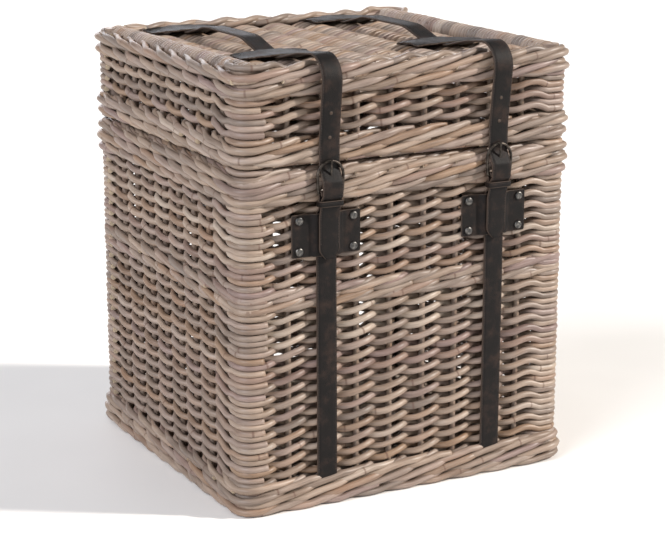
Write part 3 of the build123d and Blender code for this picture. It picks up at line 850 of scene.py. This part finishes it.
def sweep_strap(skin, route, x, width, thick, point_from=None, stitch_from=0.0, stitch_to=1e9):
    """Sweeps a strap's section along a route in the plane of y and z. Its tip narrows up to point_from."""
    section = leather_section(width, thick)
    steps = np.concatenate([[0], np.cumsum(np.linalg.norm(np.diff(route, axis=0), axis=1))])
    tangent = unit(np.gradient(route, axis=0))
    outward = np.stack([-tangent[:, 1], tangent[:, 0]], -1)
    narrow = np.ones(len(route))
    if point_from:
        t = np.clip(steps / point_from, 0, 1)
        narrow = 0.35 + 0.65 * np.sin(t * math.pi / 2)
    sway = 0.5 * MM * np.sin(steps * 11 + x * 40)
    across = section[:, 0][None] * narrow[:, None]
    thickness = section[:, 1][None]
    y, z = route[:, :1] + outward[:, :1] * thickness, route[:, 1:] + outward[:, 1:] * thickness
    grid = np.stack([x + sway[:, None] + across, y, z], -1)
    index = add_grid(skin, grid, np.tile(section[:, 2], len(route)), True)
    skin["faces"] += [index[0, -2::-1].tolist(), index[-1, :-1].tolist()]
    skin["kind"] += [0, 0]

    def at(place, values):
        """A value of the route at a distance along it."""
        return np.interp(place, steps, values)

    for s in np.arange(stitch_from, min(steps[-1] - 6 * MM, stitch_to), STITCH_PITCH):
        for side in (-1, 1):
            ends, lifts = [], []
            for place in (s, s + STITCH_LENGTH):
                lifts.append(np.array([0, at(place, outward[:, 0]), at(place, outward[:, 1])]))
                wide = x + side * (width / 2 - CREASE_IN) * at(place, narrow) + at(place, sway)
                spot = np.array([wide, at(place, route[:, 0]), at(place, route[:, 1])])
                ends.append(spot + lifts[-1] * (thick / 2 - 0.1 * MM))
            add_stitch(skin, *ends, lifts[0])


def front_route(points):
    """Turns (out, z) points in mm, measured out from the border ropes' face, into (y, z) in metres."""
    return [(FRONT - out * MM, z * MM) for out, z in points]


TAIL = [(0.9, 342), (0.9, 398), (4.7, 411), (5.2, 420.5), (11.7, 427.5), (11.7, 446), (1.6, 461.5)]
OVER_RIM = [(1.6, 500), (15, 612), (-60, 604)]
OVER_LID = [(-136, 591.6), (-72, 591.6), (-20, 606), (96, 606), (156, 591.6), (216, 591.6)]
STRAP_ROUTE = front_route(TAIL + OVER_RIM) + [(y * MM, z * MM) for y, z in OVER_LID]
STRAP_BENDS = [b * MM for b in (4, 8, 4, 5, 5, 9, 120, 32, 80, 60, 50, 90, 90, 50)]
CHAPE = [(-5.4, 33), (-5.4, 404.5), (1.6, 411.5), (1.6, 433.6), (8.8, 433.6), (8.8, 428.5)]
CHAPE_BENDS = [5 * MM, 5 * MM, 3.2 * MM, 3.2 * MM]


# %% Straps
def apply_modifiers(piece):
    """Gives a piece the mesh that its modifiers make."""
    bpy.context.view_layer.update()
    graph = bpy.context.evaluated_depsgraph_get()
    changed = piece.evaluated_get(graph)
    mesh = bpy.data.meshes.new_from_object(changed, preserve_all_data_layers=True, depsgraph=graph)
    piece.modifiers.clear()
    piece.data = mesh


def cut_with(piece, shapes):
    """Cuts simple solids out of a piece."""
    for shape in shapes:
        cutter = piece.modifiers.new("cut", "BOOLEAN")
        cutter.operation = "DIFFERENCE"
        cutter.solver = "EXACT"
        cutter.object = shape
    apply_modifiers(piece)
    for shape in shapes:
        bpy.data.objects.remove(shape)


def punch(x, z, radius, depth=30 * MM):
    """A round cutter that points at the front."""
    angle = np.arange(16) * 2 * math.pi / 16
    ring = np.stack([x + radius * np.cos(angle), 0 * angle, z + radius * np.sin(angle)], -1)
    points = np.concatenate([ring + (0, FRONT - depth, 0), ring + (0, FRONT + 4 * MM, 0)])
    faces = [[k, (k + 1) % 16, 16 + (k + 1) % 16, 16 + k] for k in range(16)]
    faces += [list(range(15, -1, -1)), list(range(16, 32))]
    mesh = bpy.data.meshes.new("punch")
    mesh.from_pydata(points.tolist(), [], faces)
    return add_object("punch", mesh)


for hand, sign in HANDS:
    x = sign * STRAP_X
    skin = new_leather()
    route = rounded_route(STRAP_ROUTE, STRAP_BENDS)
    length = np.linalg.norm(np.diff(route, axis=0), axis=1).sum()
    sweep_strap(skin, route, x, STRAP_W, STRAP_T, point_from=15 * MM, stitch_from=20 * MM)
    strap = leather_piece(f"strap_{hand}", skin, f"lid_strap_{hand}", f"strap_end_{hand}")
    cut_with(strap, [punch(x, z * MM, 2.2 * MM) for z in HOLES])
    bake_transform(strap)
    print(f"strap {hand} is {round(length * 1000)} mm long")
    skin = new_leather()
    route = rounded_route(front_route(CHAPE), CHAPE_BENDS)
    sweep_strap(skin, route, x, STRAP_W, STRAP_T, stitch_from=14 * MM, stitch_to=368 * MM)
    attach(leather_piece(f"body_strap_{hand}_leather", skin, f"body_strap_{hand}"), "root")

# %% [markdown]
# ## Patches, keepers and loops
# The riveted patches and the keepers on the lid are cut from the same leather. Each is a plate with rounded
# corners that rises over the strap in the middle. A plate is built as a front and a back sheet whose edges
# meet in a rounded rim, so that it is one closed skin.


# %% Leather plates
PLATE_COLUMNS, PLATE_ROWS = 61, 31
PATCH_T, KEEPER_T, LOOP_T = 2.8 * MM, 2.2 * MM, 1.8 * MM


def leather_plate(skin, half_w, half_h, corner, thick, surface, ragged):
    """A plate over a rounded rectangle. surface turns arrays (across, up, out) into points."""
    v = np.sin(np.linspace(-math.pi / 2, math.pi / 2, PLATE_ROWS)) * half_h
    over = np.maximum(np.abs(v) - (half_h - corner), 0)
    reach = half_w - corner + np.sqrt(np.maximum(corner**2 - over**2, 0))
    u = np.sin(np.linspace(-math.pi / 2, math.pi / 2, PLATE_COLUMNS) * 0.999)
    u = 0.55 * u + 0.45 * np.linspace(-1, 1, PLATE_COLUMNS)
    across = u[None] * reach[:, None]
    up = np.repeat(v[:, None], PLATE_COLUMNS, 1)
    edge = np.minimum(reach[:, None] - np.abs(across), half_h - np.abs(up))
    round_over = np.sqrt(np.clip(1 - (1 - np.minimum(edge / (0.9 * MM), 1)) ** 2, 0, 1))
    crease = 0.35 * MM * np.exp(-(((edge - 2.4 * MM) / (0.45 * MM)) ** 2))
    tear_up = np.sin(across * 330 + half_w * 900) + np.sin(across * 790)
    tear_across = np.sin(up * 410 + half_h * 900) + np.sin(up * 930)
    up = up - ragged * (0.5 + 0.25 * tear_up) * np.sign(up) * np.abs(up / half_h) ** 6
    across = across - ragged * (0.8 + 0.4 * tear_across) * np.sign(across) * np.abs(across / half_w) ** 12
    front = surface(across, up, thick / 2 * round_over - crease)
    back = surface(across, up, -thick / 2 * round_over)
    add_grid(skin, front, edge, False)
    add_grid(skin, back[:, ::-1], edge[:, ::-1], False)


def weld(piece):
    """Joins points that lie together, so that a plate's two sheets are one skin."""
    merge = piece.modifiers.new("weld", "WELD")
    merge.merge_threshold = 0.02 * MM
    apply_modifiers(piece)
    return piece


def bulge(across, near, far):
    """How far a plate is raised over the strap: 1 over it, 0 beyond it."""
    t = np.clip((far - np.abs(across)) / (far - near), 0, 1)
    return t * t * (3 - 2 * t)


def lay_plate(node, body, thick, surface, ragged=0.0):
    """Makes a plate as wide and long as a CAD node, and joins it to its body."""
    low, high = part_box(node)
    half_h = max(high.y - low.y, high.z - low.z) / 2
    skin = new_leather()
    leather_plate(skin, (high.x - low.x) / 2, half_h, 3 * MM, thick, surface, ragged)
    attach(weld(leather_piece(node + "_leather", skin, node)), body)


def lay_patch(hand, sign):
    """The riveted patch on the wall, which the body strap passes under."""
    low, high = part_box(f"patch_{hand}")
    wall_y, over_y = high.y - PATCH_T / 2, low.y + PATCH_T / 2

    def surface(across, up, out):
        raised = bulge(across, 17 * MM, 24 * MM)
        dent = 0.3 * MM * np.sin(up * 60 + sign) * (1 - raised)
        y = wall_y + (over_y - wall_y) * raised - out + dent
        return np.stack([sign * STRAP_X + across, y, (low.z + high.z) / 2 + up], -1)

    lay_plate(f"patch_{hand}", "root", PATCH_T, surface)


def lay_keeper(place, hand, sign):
    """A keeper on the lid, which the strap passes under. Its ends curl a little."""
    node = f"{place}_keeper_{hand}"
    low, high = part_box(node)
    flat_z, top_z = low.z + KEEPER_T / 2, high.z - KEEPER_T / 2
    twist = rng.uniform(-0.05, 0.05)

    def surface(across, up, out):
        raised = bulge(across, 16.5 * MM, 26 * MM)
        curl = 2.6 * MM * (across / (59 * MM)) ** 2 * np.sin(up * 70 + sign * 2)
        slack = 2 * MM * np.sin(np.abs(across) * 55) * (1 - raised)
        z = flat_z + (top_z - flat_z) * raised + out + curl + slack
        return np.stack([sign * STRAP_X + across, (low.y + high.y) / 2 + up + twist * across, z], -1)

    lay_plate(node, "lid", KEEPER_T, surface, 2.4 * MM)


def lay_strap_loop(hand):
    """The closed leather loop on the body strap, a squared ring."""
    low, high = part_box(f"strap_loop_{hand}")
    mid = (low + high) / 2
    angle = np.linspace(0, 2 * math.pi, 65)[:-1]
    squared_x, squared_y = [np.abs(f(angle)) ** 0.28 * np.sign(f(angle)) for f in (np.cos, np.sin)]
    section = leather_section(high.z - low.z, LOOP_T)
    section = np.concatenate([section, section[:1]])
    x = ((high.x - low.x - LOOP_T) / 2 + section[:, 1]) * squared_x[:, None]
    y = ((high.y - low.y - LOOP_T) / 2 + section[:, 1]) * squared_y[:, None]
    grid = np.stack([mid.x + x, mid.y + y, mid.z + section[:, 0] + 0 * x], -1)
    skin = new_leather()
    add_grid(skin, grid, np.tile(section[:, 2], len(angle)), False)
    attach(weld(leather_piece(f"strap_loop_{hand}_leather", skin, f"strap_loop_{hand}")), "root")


# %% Patches, keepers and loops
for hand, sign in HANDS:
    lay_patch(hand, sign)
    for place in ("front", "back"):
        lay_keeper(place, hand, sign)
    lay_strap_loop(hand)

# %% [markdown]
# ## Floor, light and camera
# The hamper stands on a plain, nearly white floor in a pale world. The key light comes from the right and
# above, fairly sharp, so each cane casts a small shadow on the next. A wide, soft fill comes from the left,
# and a weak light from behind brightens the lid's edge. Distant lamps light the whole floor evenly.

# %% Stage
floor_mesh = bpy.data.meshes.new("floor")
floor_mesh.from_pydata([(-30, -30, 0), (30, -30, 0), (30, 30, 0), (-30, 30, 0)], [], [(0, 1, 2, 3)])
floor = add_object("floor", floor_mesh)
floor_mesh.materials.append(speckled("plaster_matt_white", 3.0, (0.3, "EFEEEC"), (0.7, "F4F3F1"), 0.9))

world = bpy.data.worlds.new("studio")
bpy.context.scene.world = world
world.use_nodes = True
background = world.node_tree.nodes["Background"]
background.inputs["Color"].default_value = (1.0, 1.0, 1.0, 1.0)
background.inputs["Strength"].default_value = 0.38
bpy.context.scene.view_settings.view_transform = "Standard"


def add_sun(name, direction, strength, softness, colour):
    """A distant lamp that shines from a direction. softness is the angle it covers, in degrees."""
    data = bpy.data.lights.new(name, "SUN")
    data.energy = strength
    data.angle = math.radians(softness)
    data.color = linear(colour)[:3]
    add_object(name, data).rotation_euler = Vector(direction).to_track_quat("Z", "Y").to_euler()


add_sun("key", (0.76, -0.48, 0.52), 4.1, 4, "FFF8F0")
add_sun("fill", (-0.85, -0.25, 0.55), 2.5, 40, "F8F8FF")
add_sun("back", (0.25, 0.95, 0.15), 1.1, 30, "F8F8FF")
print("lamps", len(bpy.data.lights))

# %% Camera
camera_data = bpy.data.cameras.new("camera")
camera_data.lens = 104.8
camera_data.sensor_width = 36.0
camera = add_object("camera", camera_data)
camera.location = (-1.286, -2.405, 0.953)
DOWN, TO_RIGHT = 14.31, 28.35  # degrees from level and from straight ahead
camera.rotation_euler = (math.radians(90 - DOWN), 0.0, math.radians(-TO_RIGHT))
bpy.context.scene.camera = camera
print("camera", camera_data.lens, "mm")
